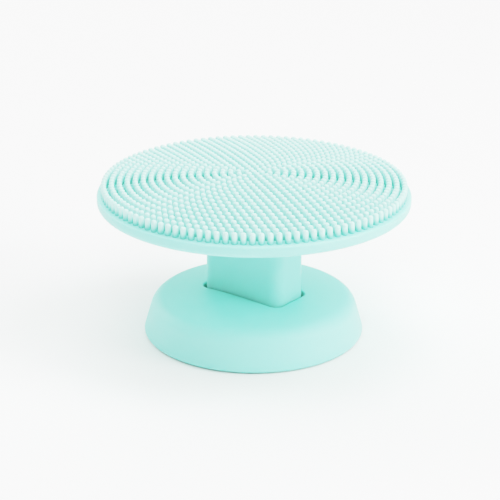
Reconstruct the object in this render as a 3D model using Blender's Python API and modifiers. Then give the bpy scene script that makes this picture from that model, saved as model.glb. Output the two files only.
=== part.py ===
"""Manual silicone facial cleansing brush on its stand.

A round bristle head with a flat rectangular grip stands plugged into a low dome base.
Origin: centre of the face the stand rests on. +Z up, +X along the grip's long side.
"""

import math

import bmesh
import bpy
from mathutils import Matrix, Vector

MM = 0.001  # the sizes below are millimetres

# Fits
GAP = 0.3  # between pieces that touch
CAVITY_OVERCUT = 2.0  # how far a cutter runs past the surface that it opens

# Bristle head
HEAD_RADIUS = 38.0
HEAD_HEIGHT = 41.65  # tip of the centre bristle above the table
HEAD_CROWN = 2.7  # rise of the bristle tips from the rim's radius to the centre
BRISTLE_PITCH = 1.91  # ring to ring, and bristle to bristle along a ring
BRISTLE_WIDTH = 1.3
BRISTLE_LENGTH = 2.6
RIM_LEDGE = 0.8  # from the outermost bristles to the head's edge
RIM_THICKNESS = 2.85
RIM_TOP_ROUND = 0.45
RIM_BOTTOM_ROUND = 1.3
PAD_SKIN = 0.9
PAD_LIP = 0.7  # thickness of the lip that holds the carrier plate from below
PAD_LIP_REACH = 3.7
PAD_EDGE_WALL = 2.8  # silicone outside the carrier plate's edge
CARRIER_THICKNESS = 1.0
COVER_THICKNESS = 0.9

# Grip
GRIP_LENGTH = 23.4
GRIP_WIDTH = 12.1
GRIP_CORNER = 3.2
SLEEVE_THICKNESS = 1.1
CORE_WALL = 1.4
FLANGE_REACH = 3.6
CAP_THICKNESS = 1.0
PLUG_LENGTH = 4.0
PLUG_WALL = 1.3

# Stand
STAND_RADIUS = 27.1
STAND_HEIGHT = 11.2
STAND_CROWN_RADIUS = 190.0
STAND_SHOULDER = 4.3
STAND_DRAFT = math.radians(15.7)
STAND_EDGE_ROUND = 0.7
STAND_LIFT = 0.35  # the shell's lower edge above the table
SHELL_WALL = 1.8
FRAME_WALL = 1.3
SLOT_CLEARANCE = 0.4  # slot to grip, each side
SLOT_CORNER = 2.6
POCKET_WALL = 1.2
POCKET_FLOOR = 1.0
PLATE_THICKNESS = 2.0
PLATE_LIFT = 0.5
FOOT_RADIUS = 20.0  # middle of the foot ring
FOOT_WIDTH = 5.0
FOOT_HEIGHT = 1.2
FOOT_ROUND = 0.35
BALLAST_HEIGHT = 3.2
BALLAST_CLEARANCE = 0.6  # to the pocket's corners and to the frame's wall

# Facets
RING_STEPS = 48
PAD_STEPS = 40
CROWN_STEPS = 5
SHOULDER_STEPS = 6
CORNER_STEPS = 5

# Levels and sizes that follow
ROOT_HEIGHT = HEAD_HEIGHT - BRISTLE_LENGTH
BRISTLE_REACH = HEAD_RADIUS - RIM_LEDGE - BRISTLE_WIDTH / 2
BRISTLE_RINGS = int(BRISTLE_REACH / BRISTLE_PITCH)  # as many as fit inside the rim
CARRIER_RADIUS = HEAD_RADIUS - PAD_EDGE_WALL - GAP
LIP_RADIUS = CARRIER_RADIUS + GAP - PAD_LIP_REACH
COVER_RADIUS = LIP_RADIUS - GAP
PLATE_TOP = PLATE_LIFT + PLATE_THICKNESS
POCKET_BOTTOM = PLATE_TOP + GAP
POCKET_SEAT = POCKET_BOTTOM + POCKET_FLOOR
GRIP_BOTTOM = POCKET_SEAT + GAP
SLOT_LENGTH = GRIP_LENGTH + 2 * SLOT_CLEARANCE
SLOT_WIDTH = GRIP_WIDTH + 2 * SLOT_CLEARANCE
CORE_INSET = SLEEVE_THICKNESS + GAP


def dome_level(centre_height, radius):
    """Height at a radius of a surface that runs parallel to the bristle tips."""
    return centre_height - HEAD_CROWN * (radius / HEAD_RADIUS) ** 2


RIM_TOP = dome_level(ROOT_HEIGHT, HEAD_RADIUS - RIM_TOP_ROUND)
RIM_BOTTOM = RIM_TOP - RIM_THICKNESS


def clear_scene():
    for old in list(bpy.data.objects):
        bpy.data.objects.remove(old, do_unlink=True)


def make_collection(name):
    collection = bpy.data.collections.new(name)
    bpy.context.scene.collection.children.link(collection)
    return collection


def make_material(name, colour, roughness, metallic=0.0):
    material = bpy.data.materials.new(name)
    material.use_nodes = True
    shader = material.node_tree.nodes["Principled BSDF"]
    shader.inputs["Base Color"].default_value = (*colour, 1.0)
    shader.inputs["Roughness"].default_value = roughness
    shader.inputs["Metallic"].default_value = metallic
    return material


def add_object(name, mesh, collection, material=None, parent=None):
    piece = bpy.data.objects.new(name, mesh)
    collection.objects.link(piece)
    if material:
        mesh.materials.append(material)
    if parent:
        piece.parent = parent
        piece.matrix_parent_inverse = parent.matrix_world.inverted()
    return piece


def turned(name, profile, steps, closed=False, **placing):
    """A solid of revolution. The profile of (radius, height) runs down its outer side."""
    mesh = bpy.data.meshes.new(name)
    points = [(radius * MM, 0.0, height * MM) for radius, height in profile]
    edges = [(i, i + 1) for i in range(len(points) - 1)]
    if closed:
        edges.append((len(points) - 1, 0))
    mesh.from_pydata(points, edges, [])
    piece = add_object(name, mesh, **placing)
    screw = piece.modifiers.new("Turn", "SCREW")
    screw.steps = steps
    screw.render_steps = steps
    screw.use_merge_vertices = True
    screw.merge_threshold = 0.00001
    screw.use_smooth_shade = True
    return piece


def rounded_block(name, length, width, corner, bottom, top, **placing):
    """An upright prism with a rounded rectangular plan."""
    shape = bmesh.new()
    bmesh.ops.create_cube(shape, size=1.0)
    size = Vector((length * MM, width * MM, (top - bottom) * MM))
    bmesh.ops.transform(shape, matrix=Matrix.Diagonal(size.to_4d()), verts=shape.verts)
    lift = Vector((0.0, 0.0, (top + bottom) / 2 * MM))
    bmesh.ops.translate(shape, vec=lift, verts=shape.verts)
    upright = [edge for edge in shape.edges if abs(edge.verts[0].co.z - edge.verts[1].co.z) > 1e-6]
    bmesh.ops.bevel(
        shape, geom=upright, offset=corner * MM, segments=CORNER_STEPS, profile=0.5, affect="EDGES"
    )
    mesh = bpy.data.meshes.new(name)
    shape.to_mesh(mesh)
    shape.free()
    mesh.shade_smooth()
    mesh.set_sharp_from_angle(angle=math.radians(40))
    return add_object(name, mesh, **placing)


def boolean(piece, other, operation):
    modifier = piece.modifiers.new(operation.title() + " " + other.name, "BOOLEAN")
    modifier.object = other
    modifier.operation = operation
    modifier.solver = "EXACT"


def cutter(name, length, width, corner, bottom, top, collection):
    """A hidden rounded block for the Booleans."""
    block = rounded_block(name, length, width, corner, bottom, top, collection=collection)
    block.hide_render = True
    block.display_type = "WIRE"
    return block


def arc(centre_radius, centre_height, radius, start, end, steps):
    """Points on an arc; the angles are measured up from the outward direction."""
    points = []
    for i in range(steps + 1):
        angle = start + (end - start) * i / steps
        points.append(
            (centre_radius + radius * math.cos(angle), centre_height + radius * math.sin(angle))
        )
    return points


def stand_outline(inset, foot):
    """The dome's outline, moved in by inset, from the axis down to the height foot."""
    normal = Vector((math.cos(STAND_DRAFT), math.sin(STAND_DRAFT)))
    along = Vector((-math.sin(STAND_DRAFT), math.cos(STAND_DRAFT)))
    widest = Vector((STAND_RADIUS, STAND_LIFT + STAND_EDGE_ROUND))
    side = widest.dot(normal)
    crown_centre = Vector((0.0, STAND_HEIGHT - STAND_CROWN_RADIUS))
    # The shoulder arc touches both the side line and the crown arc.
    start = (side - STAND_SHOULDER) * normal - crown_centre
    reach = STAND_CROWN_RADIUS - STAND_SHOULDER
    half = start.dot(along)
    travel = -half + math.sqrt(half * half - start.dot(start) + reach * reach)
    shoulder = crown_centre + start + travel * along
    tangent = math.atan2(shoulder.y - crown_centre.y, shoulder.x)
    crown = arc(
        0.0, crown_centre.y, STAND_CROWN_RADIUS - inset, math.pi / 2, tangent, CROWN_STEPS
    )
    crown[0] = (0.0, STAND_HEIGHT - inset)
    turn = arc(shoulder.x, shoulder.y, STAND_SHOULDER - inset, tangent, STAND_DRAFT, SHOULDER_STEPS)
    foot_radius = (side - inset - foot * normal.y) / normal.x
    return crown + turn[1:] + [(foot_radius, foot)]


def radius_at(outline, height):
    """Radius at a height, on an outline that runs down and outwards."""
    for (radius, above), (next_radius, below) in zip(outline, outline[1:]):
        if below <= height <= above:
            return radius + (next_radius - radius) * (above - height) / (above - below)
    return outline[-1][0]


def shell_profile():
    """The soft outer dome: outline, rounded lower edge, and the inside back up to the axis."""
    outer = stand_outline(0.0, STAND_LIFT + STAND_EDGE_ROUND)
    widest_radius, edge_centre = outer[-1]
    edge_radius = widest_radius - STAND_EDGE_ROUND
    edge = arc(edge_radius, edge_centre, STAND_EDGE_ROUND, 0.0, -math.pi / 2, 4)
    inner = stand_outline(SHELL_WALL, STAND_LIFT)
    return outer + edge[1:] + inner[::-1]


def frame_profile():
    """The rigid dome that stands inside the shell."""
    outer = stand_outline(SHELL_WALL + GAP, POCKET_BOTTOM)
    inner = stand_outline(SHELL_WALL + GAP + FRAME_WALL, POCKET_BOTTOM)
    return outer + inner[::-1]


def plate_profile():
    """The disc that closes the stand, with the groove that the foot ring sits in."""
    radius = stand_outline(SHELL_WALL + GAP, PLATE_TOP)[-1][0]
    outer = FOOT_RADIUS + FOOT_WIDTH / 2 + GAP
    inner = FOOT_RADIUS - FOOT_WIDTH / 2 - GAP
    groove = FOOT_HEIGHT + GAP
    return [
        (0.0, PLATE_TOP),
        (radius, PLATE_TOP),
        (radius, PLATE_LIFT),
        (outer, PLATE_LIFT),
        (outer, groove),
        (inner, groove),
        (inner, PLATE_LIFT),
        (0.0, PLATE_LIFT),
    ]


def foot_profile():
    outer = FOOT_RADIUS + FOOT_WIDTH / 2
    inner = FOOT_RADIUS - FOOT_WIDTH / 2
    return [
        (outer, FOOT_HEIGHT),
        (outer, FOOT_ROUND),
        (outer - FOOT_ROUND, 0.0),
        (inner + FOOT_ROUND, 0.0),
        (inner, FOOT_ROUND),
        (inner, FOOT_HEIGHT),
    ]


def ballast_profile():
    """The steel ring, filling the room between the pocket's corners and the frame's wall."""
    corner = SLOT_CORNER + POCKET_WALL
    corner_x = SLOT_LENGTH / 2 + POCKET_WALL - corner
    corner_y = SLOT_WIDTH / 2 + POCKET_WALL - corner
    inner = math.hypot(corner_x, corner_y) + corner + BALLAST_CLEARANCE
    bottom = PLATE_TOP + GAP
    top = bottom + BALLAST_HEIGHT
    ceiling = stand_outline(SHELL_WALL + GAP + FRAME_WALL, bottom)
    outer = radius_at(ceiling, top) - BALLAST_CLEARANCE
    return [(outer, top), (outer, bottom), (inner, bottom), (inner, top)]


def bristle_profile():
    """The bristle rings, drawn as one ridge a ring, from the axis out to the rim."""
    half = BRISTLE_WIDTH / 2
    points = [(0.0, HEAD_HEIGHT), (half, dome_level(HEAD_HEIGHT, half))]
    for ring in range(1, BRISTLE_RINGS + 1):
        radius = ring * BRISTLE_PITCH
        valley = radius - BRISTLE_PITCH / 2
        points.append((valley, dome_level(ROOT_HEIGHT, valley)))
        for edge in (radius - half, radius + half):
            points.append((edge, dome_level(HEAD_HEIGHT, edge)))
    return points


def pad_profile():
    """The silicone cap: bristles, rim wall, the lip under the plate, and the inside."""
    edge = HEAD_RADIUS - RIM_TOP_ROUND
    upper = arc(edge, RIM_TOP - RIM_TOP_ROUND, RIM_TOP_ROUND, math.pi / 2, 0.0, 3)
    edge = HEAD_RADIUS - RIM_BOTTOM_ROUND
    lower = arc(edge, RIM_BOTTOM + RIM_BOTTOM_ROUND, RIM_BOTTOM_ROUND, 0.0, -math.pi / 2, 5)
    pocket = CARRIER_RADIUS + GAP
    lip_top = RIM_BOTTOM + PAD_LIP
    under = [(LIP_RADIUS, RIM_BOTTOM), (LIP_RADIUS, lip_top), (pocket, lip_top)]
    skin = []
    for i in range(CROWN_STEPS + 1):
        radius = pocket * (1 - i / CROWN_STEPS)
        skin.append((radius, dome_level(ROOT_HEIGHT - PAD_SKIN, radius)))
    return bristle_profile() + upper + lower + under + skin


def carrier_profile():
    """The domed plate that stiffens the pad."""
    top = ROOT_HEIGHT - PAD_SKIN - GAP
    upper = []
    for i in range(CROWN_STEPS + 1):
        radius = CARRIER_RADIUS * i / CROWN_STEPS
        upper.append((radius, dome_level(top, radius)))
    lower = [(radius, height - CARRIER_THICKNESS) for radius, height in upper]
    return upper + lower[::-1]


def cover_profile():
    bottom = RIM_BOTTOM
    top = bottom + COVER_THICKNESS
    return [(0.0, top), (COVER_RADIUS, top), (COVER_RADIUS, bottom), (0.0, bottom)]


def build_stand(stand, parts, cutters, silicone, plastic, steel, rubber):
    """The dome base, made of the pieces that stay on the table."""
    pocket_cutter = cutter(
        "pocket_cutter",
        SLOT_LENGTH,
        SLOT_WIDTH,
        SLOT_CORNER,
        POCKET_SEAT,
        STAND_HEIGHT + CAVITY_OVERCUT,
        cutters,
    )
    shell = turned(
        "stand_shell",
        shell_profile(),
        RING_STEPS,
        collection=parts,
        material=silicone,
        parent=stand,
    )
    boolean(shell, pocket_cutter, "DIFFERENCE")

    frame = turned(
        "stand_frame",
        frame_profile(),
        RING_STEPS,
        collection=parts,
        material=plastic,
        parent=stand,
    )
    # The pocket's block ends half way through the frame's crown, below its top everywhere.
    block_top = STAND_HEIGHT - SHELL_WALL - GAP - FRAME_WALL
    pocket_block = cutter(
        "pocket_block",
        SLOT_LENGTH + 2 * POCKET_WALL,
        SLOT_WIDTH + 2 * POCKET_WALL,
        SLOT_CORNER + POCKET_WALL,
        POCKET_BOTTOM,
        block_top,
        cutters,
    )
    boolean(frame, pocket_block, "UNION")
    boolean(frame, pocket_cutter, "DIFFERENCE")

    turned(
        "ballast_ring",
        ballast_profile(),
        RING_STEPS,
        closed=True,
        collection=parts,
        material=steel,
        parent=stand,
    )
    turned(
        "base_plate",
        plate_profile(),
        RING_STEPS,
        collection=parts,
        material=plastic,
        parent=stand,
    )
    turned(
        "foot_ring",
        foot_profile(),
        RING_STEPS,
        closed=True,
        collection=parts,
        material=rubber,
        parent=stand,
    )


def build_grip(head, parts, cutters, silicone, plastic):
    """The rectangular grip: rigid tube, soft sleeve and the cap that closes its lower end."""
    # The tube's flange fills the room between the cover and the carrier plate.
    flange_top = dome_level(ROOT_HEIGHT - PAD_SKIN - GAP, 0.0) - CARRIER_THICKNESS - GAP
    flange_corner_radius = math.hypot(
        GRIP_LENGTH / 2 + FLANGE_REACH, GRIP_WIDTH / 2 + FLANGE_REACH
    )
    flange_top -= HEAD_CROWN * (flange_corner_radius / HEAD_RADIUS) ** 2
    flange_bottom = RIM_BOTTOM + COVER_THICKNESS + GAP
    tube_bottom = GRIP_BOTTOM + CAP_THICKNESS + GAP
    core_length = GRIP_LENGTH - 2 * CORE_INSET
    core_width = GRIP_WIDTH - 2 * CORE_INSET
    core_corner = GRIP_CORNER - CORE_INSET
    core = rounded_block(
        "grip_core",
        core_length,
        core_width,
        core_corner,
        tube_bottom,
        flange_top,
        collection=parts,
        material=plastic,
        parent=head,
    )
    flange = cutter(
        "flange_block",
        GRIP_LENGTH + 2 * FLANGE_REACH,
        GRIP_WIDTH + 2 * FLANGE_REACH,
        GRIP_CORNER,
        flange_bottom,
        flange_top,
        cutters,
    )
    hollow = cutter(
        "tube_cutter",
        core_length - 2 * CORE_WALL,
        core_width - 2 * CORE_WALL,
        core_corner / 2,
        tube_bottom - CAVITY_OVERCUT,
        flange_bottom,
        cutters,
    )
    boolean(core, flange, "UNION")
    boolean(core, hollow, "DIFFERENCE")

    sleeve = rounded_block(
        "grip_sleeve",
        GRIP_LENGTH,
        GRIP_WIDTH,
        GRIP_CORNER,
        tube_bottom,
        RIM_BOTTOM - GAP,
        collection=parts,
        material=silicone,
        parent=head,
    )
    sleeve_cutter = cutter(
        "sleeve_cutter",
        GRIP_LENGTH - 2 * SLEEVE_THICKNESS,
        GRIP_WIDTH - 2 * SLEEVE_THICKNESS,
        GRIP_CORNER - SLEEVE_THICKNESS,
        tube_bottom - CAVITY_OVERCUT,
        RIM_BOTTOM + CAVITY_OVERCUT,
        cutters,
    )
    boolean(sleeve, sleeve_cutter, "DIFFERENCE")

    cap = rounded_block(
        "grip_end_cap",
        GRIP_LENGTH,
        GRIP_WIDTH,
        GRIP_CORNER,
        GRIP_BOTTOM,
        GRIP_BOTTOM + CAP_THICKNESS,
        collection=parts,
        material=plastic,
        parent=head,
    )
    plug = cutter(
        "plug_block",
        core_length - 2 * (CORE_WALL + GAP),
        core_width - 2 * (CORE_WALL + GAP),
        core_corner / 2,
        GRIP_BOTTOM + CAP_THICKNESS / 2,
        GRIP_BOTTOM + CAP_THICKNESS + PLUG_LENGTH,
        cutters,
    )
    plug_cutter = cutter(
        "plug_cutter",
        core_length - 2 * (CORE_WALL + GAP + PLUG_WALL),
        core_width - 2 * (CORE_WALL + GAP + PLUG_WALL),
        core_corner / 4,
        GRIP_BOTTOM + CAP_THICKNESS,
        GRIP_BOTTOM + CAP_THICKNESS + PLUG_LENGTH + CAVITY_OVERCUT,
        cutters,
    )
    boolean(cap, plug, "UNION")
    boolean(cap, plug_cutter, "DIFFERENCE")


def build_head(head, parts, cutters, silicone, plastic):
    """The round bristle pad with the plate and the cover that carry it."""
    turned(
        "bristle_pad",
        pad_profile(),
        PAD_STEPS,
        collection=parts,
        material=silicone,
        parent=head,
    )
    turned(
        "carrier_plate",
        carrier_profile(),
        RING_STEPS,
        collection=parts,
        material=plastic,
        parent=head,
    )
    cover = turned(
        "back_cover",
        cover_profile(),
        RING_STEPS,
        collection=parts,
        material=plastic,
        parent=head,
    )
    opening = cutter(
        "cover_cutter",
        GRIP_LENGTH - 2 * SLEEVE_THICKNESS,
        GRIP_WIDTH - 2 * SLEEVE_THICKNESS,
        GRIP_CORNER - SLEEVE_THICKNESS,
        RIM_BOTTOM - CAVITY_OVERCUT,
        RIM_BOTTOM + COVER_THICKNESS + CAVITY_OVERCUT,
        cutters,
    )
    boolean(cover, opening, "DIFFERENCE")


def main():
    clear_scene()
    parts = make_collection("facial_cleansing_brush")
    cutters = make_collection("cutters")
    cutters.hide_render = True

    silicone = make_material("mint silicone", (0.36, 0.78, 0.72), 0.55)
    plastic = make_material("mint polypropylene", (0.33, 0.70, 0.65), 0.42)
    steel = make_material("zinc plated steel", (0.62, 0.63, 0.65), 0.35, metallic=1.0)
    rubber = make_material("mint rubber", (0.30, 0.64, 0.60), 0.75)

    stand = bpy.data.objects.new("stand", None)
    parts.objects.link(stand)
    # The head lifts out along the stand's axis, from the seat at the pocket's floor.
    head = bpy.data.objects.new("brush_head", None)
    head.location = (0.0, 0.0, GRIP_BOTTOM * MM)
    parts.objects.link(head)
    bpy.context.view_layer.update()

    build_stand(stand, parts, cutters, silicone, plastic, steel, rubber)
    build_grip(head, parts, cutters, silicone, plastic)
    build_head(head, parts, cutters, silicone, plastic)


main()
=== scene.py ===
import math
import random

import bmesh
import bpy
from mathutils import Matrix, Vector


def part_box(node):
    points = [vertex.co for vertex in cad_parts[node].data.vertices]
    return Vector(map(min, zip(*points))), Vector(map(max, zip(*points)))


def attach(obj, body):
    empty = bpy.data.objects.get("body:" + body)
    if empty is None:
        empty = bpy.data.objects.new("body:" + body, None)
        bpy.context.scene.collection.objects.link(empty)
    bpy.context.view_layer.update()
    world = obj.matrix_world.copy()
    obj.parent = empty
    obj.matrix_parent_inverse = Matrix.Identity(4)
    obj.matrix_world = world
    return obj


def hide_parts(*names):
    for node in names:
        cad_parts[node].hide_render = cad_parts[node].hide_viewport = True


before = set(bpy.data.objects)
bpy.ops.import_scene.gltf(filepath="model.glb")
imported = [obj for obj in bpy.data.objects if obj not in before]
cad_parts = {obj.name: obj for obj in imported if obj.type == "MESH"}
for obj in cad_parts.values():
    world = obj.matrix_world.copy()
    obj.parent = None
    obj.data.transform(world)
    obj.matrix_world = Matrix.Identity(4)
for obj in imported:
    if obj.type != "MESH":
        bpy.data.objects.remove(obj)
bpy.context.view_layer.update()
mm = 0.001  # metres in a millimetre

print("frame loaded")


# ---- helpers

# the colour mix node's sockets, which share their names with its other data types
mixFactor, mixFirst, mixSecond, mixResult = 0, 6, 7, 2
sharpEdge = 40  # degrees between faces, past which an edge is drawn sharp
mergeDistance = 1e-7


def toLinear(hexColour, alpha=1.0):
    # sRGB hex such as "b4e6e1" to the linear values a shader takes
    channels = [int(hexColour[i:i + 2], 16) / 255 for i in (0, 2, 4)]
    linear = [c / 12.92 if c <= 0.04045 else ((c + 0.055) / 1.055) ** 2.4 for c in channels]
    return (*linear, alpha)


def addNode(tree, kind, settings=None, links=None):
    # settings: property or input to value; links: input to the socket that feeds it
    # an input goes by its name, or by its number where several share a name
    node = tree.nodes.new(kind)
    for name, value in (settings or {}).items():
        if isinstance(name, int) or name in node.inputs:
            node.inputs[name].default_value = value
        else:
            setattr(node, name, value)
    for name, socket in (links or {}).items():
        tree.links.new(socket, node.inputs[name])
    return node


def mixColours(tree, share, first, second):
    # first and second are a hex colour or a socket; share 0 gives the first
    settings = {"data_type": "RGBA"}
    links = {mixFactor: share}
    for number, colour in ((mixFirst, first), (mixSecond, second)):
        if isinstance(colour, str):
            settings[number] = toLinear(colour)
        else:
            links[number] = colour
    return addNode(tree, "ShaderNodeMix", settings, links).outputs[mixResult]


def newTree(name):
    # an empty node material with the coordinates that every pattern here uses
    material = bpy.data.materials.new(name)
    material.use_nodes = True
    material.node_tree.nodes.clear()
    place = addNode(material.node_tree, "ShaderNodeTexCoord").outputs["Object"]
    return material, material.node_tree, place


def arcPoints(centreR, centreZ, radius, startDeg, endDeg, steps):
    # angles are measured up from the outward direction
    points = []
    for i in range(steps + 1):
        angle = math.radians(startDeg + (endDeg - startDeg) * i / steps)
        points.append((centreR + radius * math.cos(angle), centreZ + radius * math.sin(angle)))
    return points


def finishMesh(bm, name, material, body, sharpAngle=sharpEdge, recalculate=True):
    bmesh.ops.remove_doubles(bm, verts=bm.verts, dist=mergeDistance)
    if recalculate:
        bmesh.ops.recalc_face_normals(bm, faces=bm.faces)
    mesh = bpy.data.meshes.new(name)
    bm.to_mesh(mesh)
    bm.free()
    mesh.shade_smooth()
    mesh.set_sharp_from_angle(angle=math.radians(sharpAngle))
    mesh.materials.append(material)
    piece = bpy.data.objects.new(name, mesh)
    bpy.context.scene.collection.objects.link(piece)
    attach(piece, body)
    return piece


def spinProfile(points, steps, closed=False):
    # points are (radius, height); the ends of an open profile lie on the axis
    bm = bmesh.new()
    verts = [bm.verts.new((r, 0, z)) for r, z in points]
    edges = [bm.edges.new(pair) for pair in zip(verts, verts[1:])]
    if closed:
        edges.append(bm.edges.new((verts[-1], verts[0])))
    bmesh.ops.spin(
        bm,
        geom=verts + edges,
        cent=(0, 0, 0),
        axis=(0, 0, 1),
        angle=math.tau,
        steps=steps,
        use_merge=True,
    )
    return bm


def rectRadius(length, width, corner, angle):
    # distance from the centre to a rounded rectangle's outline, along that angle
    c, s = abs(math.cos(angle)), abs(math.sin(angle))
    halfX, halfY = length / 2, width / 2
    coreX, coreY = halfX - corner, halfY - corner
    if halfX * s <= coreY * c:
        return halfX / c
    if halfY * c <= coreX * s:
        return halfY / s
    along = coreX * c + coreY * s
    return along + math.sqrt(max(along * along - coreX ** 2 - coreY ** 2 + corner ** 2, 0))


def loftRings(rings, steps, close):
    # each ring is a function from angle to (radius, height), and is extruded from the last one
    bm = bmesh.new()
    loop = bmesh.ops.create_circle(bm, cap_ends=False, segments=steps, radius=1)["verts"]
    edges = list(bm.edges)
    angles = {v: math.atan2(v.co.y, v.co.x) for v in loop}
    first = None
    for ring in rings:
        if first is None:
            first = edges
        else:
            grown = bmesh.ops.extrude_edge_only(bm, edges=edges)["geom"]
            newVerts = {g for g in grown if isinstance(g, bmesh.types.BMVert)}
            edges = [g for g in grown if isinstance(g, bmesh.types.BMEdge)]
            edges = [e for e in edges if newVerts.issuperset(e.verts)]
            angles = {v: math.atan2(v.co.y, v.co.x) for v in newVerts}
        for v, angle in angles.items():
            r, z = ring(angle)
            v.co = (r * math.cos(angle), r * math.sin(angle), z)
    if close == "bridge":
        bmesh.ops.bridge_loops(bm, edges=first + edges)
    else:
        bmesh.ops.contextual_create(bm, geom=first)
        bmesh.ops.contextual_create(bm, geom=edges)
    return bm


# ---- materials

# silicone rubber out of a spark-eroded mould: matt, with soft edges where light passes through
siliconeLook = {
    "colour": "98e2d8",
    "shade": "91ddd2",
    "roughness": 0.52,
    "roughnessSpread": 0.05,
    "ior": 1.41,  # silicone rubber
    "subsurface": 0.6,
    "scatter": 1.0 * mm,
    "grainSize": 0.22 * mm,  # coarser than the real 0.05 mm, which wouldn't show
    "grainHeight": 0.012 * mm,
    "cloudSize": 9 * mm,
}
# the same silicone, 1.3 mm thick in the bristles: its colour is painted paler as painted light on
# the tips, and darker towards the pad as painted shade at the roots
bristlePaintedLightLook = siliconeLook | {
    # paler than the silicone: painted light on the bristle tips
    "colour": "baefe8",
    "shade": "b4ebe3",
    "subsurface": 0.25,
    "scatter": 0.6 * mm,
    # painted shade: the colour the bristles darken to at their roots
    "root": "74c9bb",
    "rootShadeEnd": 0.7,  # share of the length where the painted root shade has faded into the tip's colour
}
# moulded polypropylene: a little glossier and harder looking than the silicone round it
polypropyleneLook = {
    "colour": "8ed9ce",
    "shade": "86d2c7",
    "roughness": 0.38,
    "roughnessSpread": 0.06,
    "ior": 1.49,  # PP
    "subsurface": 0.08,
    "scatter": 0.8 * mm,
    "grainSize": 0.3 * mm,
    "grainHeight": 0.008 * mm,
    "cloudSize": 14 * mm,
}
# foot of thermoplastic rubber: the dullest of the greens, with a coarser grain
rubberLook = {
    "colour": "7ecabf",
    "shade": "76c1b6",
    "roughness": 0.72,
    "roughnessSpread": 0.08,
    "ior": 1.52,
    "subsurface": 0.0,
    "scatter": 0.5 * mm,
    "grainSize": 0.35 * mm,
    "grainHeight": 0.02 * mm,
    "cloudSize": 6 * mm,
}
# zinc plated steel: grey, faintly blotched by the zinc's crystals
steelLook = {
    "colour": "c3c6c9",
    "shade": "a9adb0",
    "roughness": 0.34,
    "spangleSize": 2.5 * mm,
}


def paintedRootShade(tree, place, look, skin):
    # painted shade at the bristle roots: height above the domed pad, as a share of the bristle's
    # length, mixes the dark root colour into the tip colour
    flat = addNode(
        tree, "ShaderNodeVectorMath", {"operation": "MULTIPLY", 1: (1, 1, 0)}, {0: place}
    )
    fromAxis = addNode(
        tree,
        "ShaderNodeVectorMath",
        {"operation": "DOT_PRODUCT"},
        {0: flat.outputs[0], 1: flat.outputs[0]},
    )
    height = addNode(tree, "ShaderNodeSeparateXYZ", {}, {"Vector": place})
    level = addNode(
        tree,
        "ShaderNodeMath",
        {"operation": "MULTIPLY_ADD", 1: padShape["crown"] / headRadius ** 2},
        {0: fromAxis.outputs["Value"], 2: height.outputs["Z"]},
    )
    root = rootLevel(0)
    share = addNode(
        tree,
        "ShaderNodeMapRange",
        {
            "interpolation_type": "SMOOTHSTEP",
            "From Min": root,
            "From Max": root + padShape["bristleLength"] * look["rootShadeEnd"],
        },
        {"Value": level.outputs["Value"]},
    )
    return mixColours(tree, share.outputs["Result"], look["root"], skin)


def mouldedMaterial(name, look):
    # a moulded polymer: faint clouds in the colour, a fine mould grain, soft scatter under the skin
    material, tree, place = newTree(name)
    clouds = addNode(
        tree,
        "ShaderNodeTexNoise",
        {"Scale": 1 / look["cloudSize"], "Detail": 3.0, "Roughness": 0.5},
        {"Vector": place},
    )
    skin = mixColours(tree, clouds.outputs["Fac"], look["shade"], look["colour"])
    # painted shade darkens the bristles towards their roots
    if "root" in look:
        skin = paintedRootShade(tree, place, look, skin)
    grain = addNode(
        tree,
        "ShaderNodeTexNoise",
        {"Scale": 1 / look["grainSize"], "Detail": 2.0, "Roughness": 0.6},
        {"Vector": place},
    )
    gloss = addNode(
        tree,
        "ShaderNodeMapRange",
        {
            "From Min": 0.3,
            "From Max": 0.7,
            "To Min": look["roughness"] - look["roughnessSpread"],
            "To Max": look["roughness"] + look["roughnessSpread"],
        },
        {"Value": grain.outputs["Fac"]},
    )
    bump = addNode(
        tree,
        "ShaderNodeBump",
        {"Strength": 0.5, "Distance": look["grainHeight"]},
        {"Height": grain.outputs["Fac"]},
    )
    shader = addNode(
        tree,
        "ShaderNodeBsdfPrincipled",
        {
            "IOR": look["ior"],
            "Subsurface Weight": look["subsurface"],
            "Subsurface Scale": look["scatter"],
            "Subsurface Radius": (0.7, 1.0, 0.95),  # red light is soaked up first
        },
        {
            "Base Color": skin,
            "Roughness": gloss.outputs["Result"],
            "Normal": bump.outputs["Normal"],
        },
    )
    addNode(tree, "ShaderNodeOutputMaterial", {}, {"Surface": shader.outputs["BSDF"]})
    return material


def platedMaterial(name, look):
    material, tree, place = newTree(name)
    spangle = addNode(
        tree, "ShaderNodeTexVoronoi", {"Scale": 1 / look["spangleSize"]}, {"Vector": place}
    )
    tone = mixColours(tree, spangle.outputs["Distance"], look["shade"], look["colour"])
    shader = addNode(
        tree,
        "ShaderNodeBsdfPrincipled",
        {"Metallic": 1.0, "Roughness": look["roughness"]},
        {"Base Color": tone},
    )
    addNode(tree, "ShaderNodeOutputMaterial", {}, {"Surface": shader.outputs["BSDF"]})
    return material


silicone = mouldedMaterial("moulded silicone", siliconeLook)
polypropylene = mouldedMaterial("moulded PP", polypropyleneLook)
rubber = mouldedMaterial("foot TPE", rubberLook)
steel = platedMaterial("zinc plated steel", steelLook)
print("materials made")


# ---- bristle pad

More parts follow.
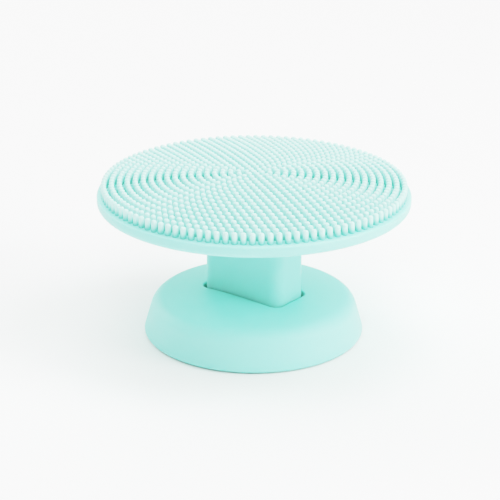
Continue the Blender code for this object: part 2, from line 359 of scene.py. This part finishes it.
padLow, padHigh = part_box("bristle_pad")
padShape = {
    "crown": 2.7 * mm,  # rise of the tips from the rim to the centre
    "bristleLength": 2.6 * mm,
    "rimTopRound": 0.45 * mm,
    "rimBottomRound": 1.3 * mm,
    "lip": 0.7 * mm,
    "lipRadius": 31.5 * mm,
    "plateRadius": 35.2 * mm,
    "skin": 0.9 * mm,
    "steps": 180,
    "crownSteps": 24,
}
bristleShape = {
    "pitch": 1.91 * mm,
    "rings": 19,
    "perRing": 6,  # each ring has this many more than the one inside it
    "rootRadius": 0.72 * mm,
    "tipRadius": 0.66 * mm,
    "tipRound": 0.48 * mm,
    "sunk": 0.35 * mm,  # how far the foot runs into the pad
    "sides": 10,
    "tipSteps": 3,
    "lean": 0.6,  # degrees, at most
    "leanSeed": 7,
    "sharpAngle": 60,
    "seam": 88.9,  # the angle that every ring starts from
}
headRadius = padHigh.x
tipTop = padHigh.z


def tipLevel(radius):
    return tipTop - padShape["crown"] * (radius / headRadius) ** 2


def rootLevel(radius):
    return tipLevel(radius) - padShape["bristleLength"]


def makePad():
    s = padShape
    crownSteps = s["crownSteps"]
    rimR = headRadius - s["rimTopRound"]
    crown = [rimR * i / crownSteps for i in range(crownSteps)]
    top = [(r, rootLevel(r)) for r in crown]
    band = arcPoints(rimR, rootLevel(rimR) - s["rimTopRound"], s["rimTopRound"], 90, 0, 6)
    lowR, lowZ = headRadius - s["rimBottomRound"], padLow.z + s["rimBottomRound"]
    band += arcPoints(lowR, lowZ, s["rimBottomRound"], 0, -90, 12)
    lipRound = s["lip"] / 2
    lip = arcPoints(s["lipRadius"] + lipRound, padLow.z + lipRound, lipRound, -90, -270, 8)
    inside = [(s["plateRadius"], padLow.z + s["lip"])]
    for i in range(crownSteps + 1):
        r = s["plateRadius"] * (1 - i / crownSteps)
        inside.append((r, rootLevel(r) - s["skin"]))
    bm = spinProfile(top + band + lip + inside, s["steps"])
    piece = finishMesh(bm, "bristlePadSkin", silicone, "brush_head")
    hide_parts("bristle_pad")


def bristleMesh():
    # one bristle standing on the origin: a slim cone with a rounded tip
    s = bristleShape
    bm = bmesh.new()
    length = padShape["bristleLength"] + s["sunk"]
    bmesh.ops.create_cone(
        bm,
        cap_ends=True,
        segments=s["sides"],
        radius1=s["rootRadius"],
        radius2=s["tipRadius"],
        depth=length,
    )
    bmesh.ops.translate(bm, vec=(0, 0, length / 2 - s["sunk"]), verts=bm.verts)
    top = padShape["bristleLength"]
    rimEdges = [e for e in bm.edges if all(abs(v.co.z - top) < mergeDistance for v in e.verts)]
    bmesh.ops.bevel(
        bm,
        geom=rimEdges,
        offset=s["tipRound"],
        segments=s["tipSteps"],
        profile=0.5,
        affect="EDGES",
        material=-1,
    )
    mesh = bpy.data.meshes.new("oneBristle")
    bm.to_mesh(mesh)
    bm.free()
    return mesh


def makeBristles():
    s = bristleShape
    rng = random.Random(s["leanSeed"])
    lean = math.radians(s["lean"])
    one = bristleMesh()
    bm = bmesh.new()
    count = 0
    for ring in range(s["rings"] + 1):
        inRing = max(1, ring * s["perRing"])
        radius = ring * s["pitch"]
        for i in range(inRing):
            angle = math.radians(s["seam"]) + math.tau * i / inRing
            foot = Vector((radius * math.cos(angle), radius * math.sin(angle), rootLevel(radius)))
            tilt = Matrix.Rotation(rng.uniform(-lean, lean), 4, "X")
            tilt @= Matrix.Rotation(rng.uniform(-lean, lean), 4, "Y")
            turn = Matrix.Rotation(angle, 4, "Z")
            place = Matrix.Translation(foot) @ tilt @ turn
            one.transform(place)
            bm.from_mesh(one)
            one.transform(place.inverted())
            count += 1
    bpy.data.meshes.remove(one)
    finishMesh(
        bm,
        "bristles",
        bristleSilicone,
        "brush_head",
        sharpAngle=s["sharpAngle"],
        recalculate=False,
    )
    print(count, "bristles")


# the bristle material carries painted light on the tips and painted shade at the roots
bristleSilicone = mouldedMaterial("thin moulded silicone", bristlePaintedLightLook)
makePad()
makeBristles()


# ---- grip

gripLow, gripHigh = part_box("grip_sleeve")
gripShape = {
    "corner": 3.2 * mm,
    "wall": 1.1 * mm,
    "endRound": 0.35 * mm,
    "draft": 0.1 * mm,  # each side at the top, none from the slot down
    "draftSteps": 8,
    "leastCorner": 0.2 * mm,  # no ring's corner gets tighter
    "steps": 160,
    "capRound": 0.3 * mm,
    "capThickness": 1.0 * mm,
    "plugInset": 3.1 * mm,
}
gripLength = gripHigh.x - gripLow.x
gripWidth = gripHigh.y - gripLow.y


def rectRing(inset, height, corner=None):
    # a rounded rectangle parallel to the grip's outline
    c = max((corner or gripShape["corner"]) - inset, gripShape["leastCorner"])
    length, width = gripLength - 2 * inset, gripWidth - 2 * inset
    return lambda angle: (rectRadius(length, width, c, angle), height)


def makeGripSleeve():
    s = gripShape
    low, high = gripLow.z, gripHigh.z
    rings = []
    for r, z in arcPoints(0, 0, s["endRound"], -90, 0, 5):
        rings.append(rectRing(s["endRound"] - r, low + s["endRound"] + z))
    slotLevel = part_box("stand_shell")[1].z
    for i in range(s["draftSteps"] + 1):
        t = i / s["draftSteps"]
        rings.append(rectRing(s["draft"] * t, slotLevel + (high - slotLevel) * t))
    rings.append(rectRing(s["wall"], high))
    rings.append(rectRing(s["wall"], low))
    bm = loftRings(rings, s["steps"], "bridge")
    piece = finishMesh(bm, "gripSleeveSkin", silicone, "brush_head")
    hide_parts("grip_sleeve")


def makeEndCap():
    s = gripShape
    low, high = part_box("grip_end_cap")
    rings = []
    capTop = low.z + s["capThickness"]
    for r, z in arcPoints(0, 0, s["capRound"], -90, 0, 5):
        rings.append(rectRing(s["capRound"] - r, low.z + s["capRound"] + z))
    for r, z in arcPoints(0, 0, s["capRound"] / 2, 0, 90, 3):
        rings.append(rectRing(s["capRound"] / 2 - r, capTop - s["capRound"] / 2 + z))
    rings.append(rectRing(s["plugInset"], capTop))
    rings.append(rectRing(s["plugInset"], high.z))
    bm = loftRings(rings, s["steps"], "cap")
    piece = finishMesh(bm, "gripEndCap", polypropylene, "brush_head")
    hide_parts("grip_end_cap")


makeGripSleeve()
makeEndCap()


# ---- back cover of the head

coverLow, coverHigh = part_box("back_cover")
coverShape = {
    "edgeRound": 0.35 * mm,
    "panelRadius": 26 * mm,
    "panelDepth": 0.3 * mm,
    "steps": 180,
    "sharpAngle": 50,
    "openingInset": 1.1 * mm,
    "openingSeat": 0.5 * mm,  # flat margin round the grip
}


def circleRing(radius, height):
    return lambda angle: (radius, height)


def makeBackCover():
    s = coverShape
    low, high, radius = coverLow.z, coverHigh.z, coverHigh.x
    edge, step = s["edgeRound"], s["panelDepth"]
    outline = [(radius - edge, high)]
    outline += arcPoints(radius - edge, high - edge, edge, 80, 0, 5)
    outline += arcPoints(radius - edge, low + edge, edge, 0, -90, 5)
    outline += arcPoints(s["panelRadius"] + step, low + step, step, -90, -180, 5)
    rings = [circleRing(r, z) for r, z in outline]
    rings.append(rectRing(-s["openingSeat"], low + step))
    rings.append(rectRing(s["openingInset"], low + step))
    rings.append(rectRing(s["openingInset"], high))
    bm = loftRings(rings, s["steps"], "bridge")
    piece = finishMesh(bm, "backCover", polypropylene, "brush_head", s["sharpAngle"])
    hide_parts("back_cover")


makeBackCover()


# ---- stand

shellLow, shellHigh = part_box("stand_shell")
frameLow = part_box("stand_frame")[0]
standShape = {
    "crownRadius": 190 * mm,
    "shoulder": 4.3 * mm,
    "draft": 15.7,  # degrees
    "edgeRound": 0.7 * mm,
    "wall": 1.8 * mm,
    "frameGap": 0.3 * mm,
    "frameWall": 1.3 * mm,
    "slotGap": 0.4 * mm,
    "slotCorner": 2.2 * mm,  # before the gap is added
    "slotRound": 0.35 * mm,
    "pocketWall": 1.2 * mm,
    "pocketFloor": 1.0 * mm,
    "pocketRound": 0.5 * mm,
    "steps": 224,
    "shoulderSteps": 14,
    "sideSteps": 4,
    "crownSteps": 10,
    "frameCrownSteps": 5,
}


def standOutline(inset, foot):
    # the dome's outline moved in by inset, as (radius, height) from the crown's edge to the foot
    s = standShape
    draft = math.radians(s["draft"])
    normal = Vector((math.cos(draft), math.sin(draft)))
    along = Vector((-math.sin(draft), math.cos(draft)))
    widest = Vector((shellHigh.x, shellLow.z + s["edgeRound"]))
    side = widest.dot(normal)
    crownCentre = Vector((0, shellHigh.z - s["crownRadius"]))
    start = (side - s["shoulder"]) * normal - crownCentre
    reach = s["crownRadius"] - s["shoulder"]
    half = start.dot(along)
    travel = -half + math.sqrt(half * half - start.dot(start) + reach * reach)
    shoulder = crownCentre + start + travel * along
    tangent = math.degrees(math.atan2(shoulder.y - crownCentre.y, shoulder.x))
    turn = arcPoints(
        shoulder.x, shoulder.y, s["shoulder"] - inset, tangent, s["draft"], s["shoulderSteps"]
    )
    last = Vector(turn[-1])
    end = Vector(((side - inset - foot * normal.y) / normal.x, foot))
    line = [tuple(last.lerp(end, (i + 1) / s["sideSteps"])) for i in range(s["sideSteps"])]
    return turn + line


def crownLevel(radius, inset):
    s = standShape
    centre = shellHigh.z - s["crownRadius"]
    return centre + math.sqrt((s["crownRadius"] - inset) ** 2 - radius ** 2)


def crownRing(share, edgeRadius, inset, slotInset):
    # runs from the slot's outline (share 0) to the shoulder's circle (share 1), on the crown
    slot = rectRing(slotInset, 0, standShape["slotCorner"])

    def ring(angle):
        inner = slot(angle)[0]
        r = inner + (edgeRadius - inner) * share
        return r, crownLevel(r, inset)

    return ring


def slotRing(slotInset, depth, inset=0.0):
    # the slot's outline, depth below the crown
    slot = rectRing(slotInset, 0, standShape["slotCorner"])

    def ring(angle):
        r = slot(angle)[0]
        return r, crownLevel(r, inset) - depth

    return ring


def makeStandShell():
    s = standShape
    outer = standOutline(0, shellLow.z + s["edgeRound"])
    inner = standOutline(s["wall"], shellLow.z)
    slotInset = -s["slotGap"]
    rings = [slotRing(slotInset, s["wall"]), slotRing(slotInset, s["slotRound"])]
    for r, z in arcPoints(0, 0, s["slotRound"], 15, 90, 5):
        rings.append(slotRing(slotInset - s["slotRound"] + r, s["slotRound"] - z))
    for i in range(1, s["crownSteps"]):
        rings.append(crownRing(i / s["crownSteps"], outer[0][0], 0, slotInset - s["slotRound"]))
    rings += [circleRing(r, z) for r, z in outer]
    edgeR = outer[-1][0] - s["edgeRound"]
    edge = arcPoints(edgeR, outer[-1][1], s["edgeRound"], 0, -90, 8)[1:]
    rings += [circleRing(r, z) for r, z in edge]
    rings += [circleRing(r, z) for r, z in reversed(inner)]
    rings.append(crownRing(0.5, inner[0][0], s["wall"], slotInset))
    bm = loftRings(rings, s["steps"], "bridge")
    piece = finishMesh(bm, "standShellSkin", silicone, "stand")
    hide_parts("stand_shell")


def makeStandFrame():
    s = standShape
    outerInset = s["wall"] + s["frameGap"]
    innerInset = outerInset + s["frameWall"]
    outer = standOutline(outerInset, frameLow.z)
    inner = standOutline(innerInset, frameLow.z)
    slotInset = -s["slotGap"]
    floorRound = s["pocketRound"]
    floorTop = frameLow.z + s["pocketFloor"] + floorRound
    rings = []
    for r, z in arcPoints(0, 0, floorRound, 0, 90, 5)[::-1]:
        rings.append(rectRing(slotInset + floorRound - r, floorTop - z, s["slotCorner"]))
    rings.append(slotRing(slotInset, s["frameWall"], outerInset))
    rings.append(slotRing(slotInset, 0, outerInset))
    for i in range(1, s["frameCrownSteps"]):
        rings.append(crownRing(i / s["frameCrownSteps"], outer[0][0], outerInset, slotInset))
    rings += [circleRing(r, z) for r, z in outer]
    rings += [circleRing(r, z) for r, z in reversed(inner)]
    pocketInset = slotInset - s["pocketWall"]
    rings.append(crownRing(0.5, inner[0][0], innerInset, pocketInset))
    rings.append(slotRing(pocketInset, 0, innerInset))
    rings.append(rectRing(pocketInset, frameLow.z, s["slotCorner"]))
    bm = loftRings(rings, s["steps"], "cap")
    piece = finishMesh(bm, "standFrame", polypropylene, "stand")
    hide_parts("stand_frame")


plateLow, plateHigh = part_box("base_plate")
footLow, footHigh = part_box("foot_ring")
undersideShape = {
    "edgeRound": 0.3 * mm,
    "gap": 0.3 * mm,
    "footWidth": 5.0 * mm,
    "footRound": 0.35 * mm,
    "treads": 3,  # shallow grooves round the foot ring's contact face
    "treadWidth": 0.5 * mm,
    "treadDepth": 0.25 * mm,
    "panelRadius": 13 * mm,
    "panelDepth": 0.25 * mm,
    "steps": 180,
}


def makeBasePlate():
    s = undersideShape
    low, high, radius = plateLow.z, plateHigh.z, plateHigh.x
    outer = footHigh.x + s["gap"]
    inner = footHigh.x - s["footWidth"] - s["gap"]
    groove = footHigh.z + s["gap"]
    e = s["edgeRound"]
    profile = [(0, high), (radius - e, high)]
    profile += arcPoints(radius - e, high - e, e, 80, 0, 4)
    profile += arcPoints(radius - e, low + e, e, 0, -90, 5)
    profile += [(outer + e / 2, low), (outer, low + e / 2), (outer, groove), (inner, groove)]
    profile += [(inner, low + e / 2), (inner - e / 2, low)]
    panelTop = low + s["panelDepth"]
    profile += [(s["panelRadius"] + s["panelDepth"], low), (s["panelRadius"], panelTop)]
    profile += [(0, panelTop)]
    bm = spinProfile(profile, s["steps"])
    piece = finishMesh(bm, "basePlate", polypropylene, "stand")
    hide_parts("base_plate")


def makeFootRing():
    s = undersideShape
    outer, inner = footHigh.x, footHigh.x - s["footWidth"]
    low, high, e = footLow.z, footHigh.z, s["footRound"]
    profile = [(outer, high)]
    profile += arcPoints(outer - e, low + e, e, 0, -90, 5)
    pitch = (s["footWidth"] - 2 * e) / s["treads"]
    half, slope = s["treadWidth"] / 2, s["treadDepth"] / 2
    for i in range(s["treads"]):
        middle = outer - e - pitch * (i + 0.5)
        profile += [(middle + half + slope, low), (middle + half, low + s["treadDepth"])]
        profile += [(middle - half, low + s["treadDepth"]), (middle - half - slope, low)]
    profile += arcPoints(inner + e, low + e, e, -90, -180, 5)
    profile += [(inner, high)]
    bm = spinProfile(profile, s["steps"], closed=True)
    piece = finishMesh(bm, "footRing", rubber, "stand")
    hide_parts("foot_ring")


makeStandShell()
makeStandFrame()
makeBasePlate()
makeFootRing()

# the pieces that stay as CAD nodes, inside the others
for node, material in {
    "carrier_plate": polypropylene,
    "grip_core": polypropylene,
    "ballast_ring": steel,
}.items():
    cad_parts[node].data.materials.clear()
    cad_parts[node].data.materials.append(material)
print("pieces made")


# ---- camera, floor and light

cameraPlace = {
    "azimuth": 37.3,
    "elevation": 20.78,
    "distance": 403 * mm,
    "round": (0, 0, 25 * mm),  # the point that it stands round
    "aimHeight": 21.0 * mm,
    "aimSide": -0.95 * mm,
    "roll": 0.2,
    "lens": 118.6,
    "sensor": 36,
    "nearest": 10 * mm,
}
studio = {
    "sky": 0.6,
    "floor": "ffffff",
    "floorSize": 20,  # metres from the middle to an edge
    "lampAim": (0, 0, 20 * mm),
    # name: disc size in metres, watts, and how far right, up and towards the camera it stands
    "lamps": {
        "topSoftbox": (0.9, 7.8, 0.0, 1.1, -0.05),
        "rightTopSoftbox": (0.6, 6.6, 0.7, 1.0, 0.0),
        "backTopSoftbox": (0.7, 2.8, 0.0, 0.9, -0.7),
        "frontSoftbox": (0.6, 6.6, 0.0, 0.8, 0.9),
        "rightSoftbox": (0.5, 6.4, 0.8, 0.45, 0.3),
        "backLeftSoftbox": (0.6, 5.2, -0.75, 0.4, -0.6),
        "backSoftbox": (0.6, 2.2, 0.0, 0.4, -1.0),
    },
    # how film answers light: scene light to picture light, straight at first, then a long shoulder
    "whiteLevel": 3.2,
    "film": ((0.25, 0.245), (0.5, 0.49), (1.0, 0.74), (2.0, 0.9), (2.6, 0.96)),
}


def makeCamera():
    c = cameraPlace
    azimuth, elevation = math.radians(c["azimuth"]), math.radians(c["elevation"])
    back = Vector(
        (
            math.sin(azimuth) * math.cos(elevation),
            -math.cos(azimuth) * math.cos(elevation),
            math.sin(elevation),
        )
    )
    right = Vector((math.cos(azimuth), math.sin(azimuth), 0))
    data = bpy.data.cameras.new("camera")
    data.lens = c["lens"]
    data.sensor_width = c["sensor"]
    data.clip_start = c["nearest"]
    camera = bpy.data.objects.new("camera", data)
    bpy.context.scene.collection.objects.link(camera)
    camera.location = Vector(c["round"]) + back * c["distance"]
    aim = Vector((0, 0, c["aimHeight"])) + right * c["aimSide"]
    toAim = (aim - camera.location).to_track_quat("-Z", "Y").to_matrix()
    roll = Matrix.Rotation(math.radians(c["roll"]), 3, "Z")
    camera.rotation_euler = (toAim @ roll).to_euler()
    bpy.context.scene.camera = camera


def makeFloor():
    bm = bmesh.new()
    bmesh.ops.create_grid(bm, x_segments=1, y_segments=1, size=studio["floorSize"])
    mesh = bpy.data.meshes.new("floor")
    bm.to_mesh(mesh)
    bm.free()
    material = bpy.data.materials.new("matt paper")
    material.use_nodes = True
    shader = material.node_tree.nodes["Principled BSDF"]
    shader.inputs["Base Color"].default_value = toLinear(studio["floor"])
    shader.inputs["Roughness"].default_value = 0.9
    shader.inputs["Specular IOR Level"].default_value = 0.2
    mesh.materials.append(material)
    floor = bpy.data.objects.new("floor", mesh)
    bpy.context.scene.collection.objects.link(floor)


def makeLight(name, size, power, side, up, back):
    # placed as seen from the camera: side to its right, back towards it
    azimuth = math.radians(cameraPlace["azimuth"])
    right = Vector((math.cos(azimuth), math.sin(azimuth), 0))
    towards = Vector((math.sin(azimuth), -math.cos(azimuth), 0))
    data = bpy.data.lights.new(name, "AREA")
    data.shape = "DISK"
    data.size = size
    data.energy = power
    lamp = bpy.data.objects.new(name, data)
    bpy.context.scene.collection.objects.link(lamp)
    lamp.location = right * side + towards * back + Vector((0, 0, up))
    toAim = Vector(studio["lampAim"]) - lamp.location
    lamp.rotation_euler = toAim.to_track_quat("-Z", "Y").to_euler()


def makeWorld():
    world = bpy.data.worlds.new("studio")
    bpy.context.scene.world = world
    world.use_nodes = True
    background = world.node_tree.nodes["Background"]
    background.inputs["Color"].default_value = (1, 1, 1, 1)
    background.inputs["Strength"].default_value = studio["sky"]


def setFilm():
    view = bpy.context.scene.view_settings
    view.view_transform = "Standard"
    view.use_curve_mapping = True
    mapping = view.curve_mapping
    mapping.white_level = (studio["whiteLevel"],) * 3
    combined = mapping.curves[3]
    for x, y in studio["film"]:
        combined.points.new(x / studio["whiteLevel"], y)
    mapping.update()


makeCamera()
makeFloor()
makeWorld()
for lampName, lampPlace in studio["lamps"].items():
    makeLight(lampName, *lampPlace)
setFilm()
print("camera and studio ready")

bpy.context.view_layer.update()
